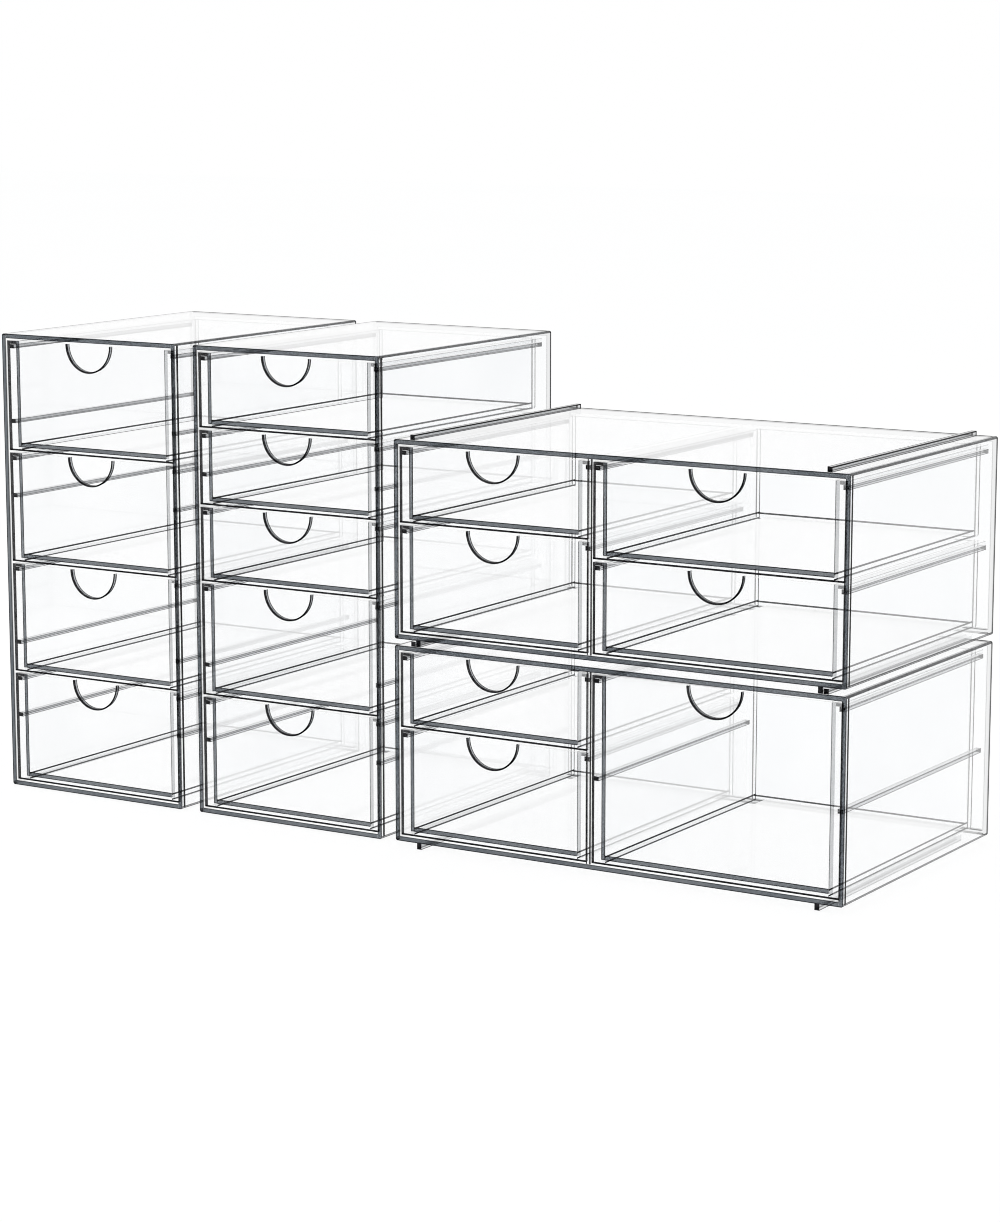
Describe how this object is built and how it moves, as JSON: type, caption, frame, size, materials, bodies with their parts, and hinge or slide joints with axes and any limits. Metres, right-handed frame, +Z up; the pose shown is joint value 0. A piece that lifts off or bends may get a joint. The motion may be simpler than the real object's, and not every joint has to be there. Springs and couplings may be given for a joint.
{
  "type": "drawer organizer set",
  "caption": "Clear acrylic make-up organizer set: tall towers and stacked wide chests of trays with notched fronts that slide out on runner strips.",
  "frame": {"origin": "middle of the set's footprint, on the surface that it stands on", "axes": "+X to the right along the fronts, +Y from the drawer fronts to the backs, +Z up; drawers slide out along -Y"},
  "size_m": [0.5002, 0.1732, 0.2438],
  "materials": {
    "casing_acrylic": "polished",
    "strip_acrylic": "polished",
    "front_acrylic": "polished",
    "tray_acrylic": "polished"
  },
  "bodies": {
    "casings": {"left_tower_top": "casing_acrylic", "left_tower_bottom": "casing_acrylic", "left_tower_sides": "casing_acrylic", "left_tower_back": "casing_acrylic", "left_tower_runners": "strip_acrylic", "middle_tower_top": "casing_acrylic", "middle_tower_bottom": "casing_acrylic", "middle_tower_sides": "casing_acrylic", "middle_tower_back": "casing_acrylic", "middle_tower_runners": "strip_acrylic", "lower_chest_top": "casing_acrylic", "lower_chest_bottom": "casing_acrylic", "lower_chest_sides": "casing_acrylic", "lower_chest_back": "casing_acrylic", "lower_chest_runners": "strip_acrylic", "lower_chest_partition": "casing_acrylic", "lower_chest_rails": "strip_acrylic", "lower_chest_feet": "strip_acrylic"},
    "upper_chest": {"upper_chest_top": "casing_acrylic", "upper_chest_bottom": "casing_acrylic", "upper_chest_sides": "casing_acrylic", "upper_chest_back": "casing_acrylic", "upper_chest_runners": "strip_acrylic", "upper_chest_partition": "casing_acrylic", "upper_chest_rails": "strip_acrylic", "upper_chest_feet": "strip_acrylic"},
    "left_tower_drawer_1": {"left_tower_front_1": "front_acrylic", "left_tower_tray_1": "tray_acrylic"},
    "left_tower_drawer_2": {"left_tower_front_2": "front_acrylic", "left_tower_tray_2": "tray_acrylic"},
    "left_tower_drawer_3": {"left_tower_front_3": "front_acrylic", "left_tower_tray_3": "tray_acrylic"},
    "left_tower_drawer_4": {"left_tower_front_4": "front_acrylic", "left_tower_tray_4": "tray_acrylic"},
    "middle_tower_drawer_1": {"middle_tower_front_1": "front_acrylic", "middle_tower_tray_1": "tray_acrylic"},
    "middle_tower_drawer_2": {"middle_tower_front_2": "front_acrylic", "middle_tower_tray_2": "tray_acrylic"},
    "middle_tower_drawer_3": {"middle_tower_front_3": "front_acrylic", "middle_tower_tray_3": "tray_acrylic"},
    "middle_tower_drawer_4": {"middle_tower_front_4": "front_acrylic", "middle_tower_tray_4": "tray_acrylic"},
    "middle_tower_drawer_5": {"middle_tower_front_5": "front_acrylic", "middle_tower_tray_5": "tray_acrylic"},
    "lower_chest_drawer_1": {"lower_chest_front_1": "front_acrylic", "lower_chest_tray_1": "tray_acrylic"},
    "lower_chest_drawer_2": {"lower_chest_front_2": "front_acrylic", "lower_chest_tray_2": "tray_acrylic"},
    "lower_chest_drawer_3": {"lower_chest_front_3": "front_acrylic", "lower_chest_tray_3": "tray_acrylic"},
    "upper_chest_drawer_1": {"upper_chest_front_1": "front_acrylic", "upper_chest_tray_1": "tray_acrylic"},
    "upper_chest_drawer_2": {"upper_chest_front_2": "front_acrylic", "upper_chest_tray_2": "tray_acrylic"},
    "upper_chest_drawer_3": {"upper_chest_front_3": "front_acrylic", "upper_chest_tray_3": "tray_acrylic"},
    "upper_chest_drawer_4": {"upper_chest_front_4": "front_acrylic", "upper_chest_tray_4": "tray_acrylic"}
  },
  "joints": [
    {"name": "upper_chest_lift", "type": "slide", "parent": "casings", "child": "upper_chest", "axis": [0, 0, 1], "range_m": [0, 0.06]},
    {"name": "left_tower_drawer_1_slide", "type": "slide", "parent": "casings", "child": "left_tower_drawer_1", "axis": [0, -1, 0], "range_m": [0, 0.12]},
    {"name": "left_tower_drawer_2_slide", "type": "slide", "parent": "casings", "child": "left_tower_drawer_2", "axis": [0, -1, 0], "range_m": [0, 0.12]},
    {"name": "left_tower_drawer_3_slide", "type": "slide", "parent": "casings", "child": "left_tower_drawer_3", "axis": [0, -1, 0], "range_m": [0, 0.12]},
    {"name": "left_tower_drawer_4_slide", "type": "slide", "parent": "casings", "child": "left_tower_drawer_4", "axis": [0, -1, 0], "range_m": [0, 0.12]},
    {"name": "middle_tower_drawer_1_slide", "type": "slide", "parent": "casings", "child": "middle_tower_drawer_1", "axis": [0, -1, 0], "range_m": [0, 0.12]},
    {"name": "middle_tower_drawer_2_slide", "type": "slide", "parent": "casings", "child": "middle_tower_drawer_2", "axis": [0, -1, 0], "range_m": [0, 0.12]},
    {"name": "middle_tower_drawer_3_slide", "type": "slide", "parent": "casings", "child": "middle_tower_drawer_3", "axis": [0, -1, 0], "range_m": [0, 0.12]},
    {"name": "middle_tower_drawer_4_slide", "type": "slide", "parent": "casings", "child": "middle_tower_drawer_4", "axis": [0, -1, 0], "range_m": [0, 0.12]},
    {"name": "middle_tower_drawer_5_slide", "type": "slide", "parent": "casings", "child": "middle_tower_drawer_5", "axis": [0, -1, 0], "range_m": [0, 0.12]},
    {"name": "lower_chest_drawer_1_slide", "type": "slide", "parent": "casings", "child": "lower_chest_drawer_1", "axis": [0, -1, 0], "range_m": [0, 0.12]},
    {"name": "lower_chest_drawer_2_slide", "type": "slide", "parent": "casings", "child": "lower_chest_drawer_2", "axis": [0, -1, 0], "range_m": [0, 0.12]},
    {"name": "lower_chest_drawer_3_slide", "type": "slide", "parent": "casings", "child": "lower_chest_drawer_3", "axis": [0, -1, 0], "range_m": [0, 0.12]},
    {"name": "upper_chest_drawer_1_slide", "type": "slide", "parent": "upper_chest", "child": "upper_chest_drawer_1", "axis": [0, -1, 0], "range_m": [0, 0.12]},
    {"name": "upper_chest_drawer_2_slide", "type": "slide", "parent": "upper_chest", "child": "upper_chest_drawer_2", "axis": [0, -1, 0], "range_m": [0, 0.12]},
    {"name": "upper_chest_drawer_3_slide", "type": "slide", "parent": "upper_chest", "child": "upper_chest_drawer_3", "axis": [0, -1, 0], "range_m": [0, 0.12]},
    {"name": "upper_chest_drawer_4_slide", "type": "slide", "parent": "upper_chest", "child": "upper_chest_drawer_4", "axis": [0, -1, 0], "range_m": [0, 0.12]}
  ]
}
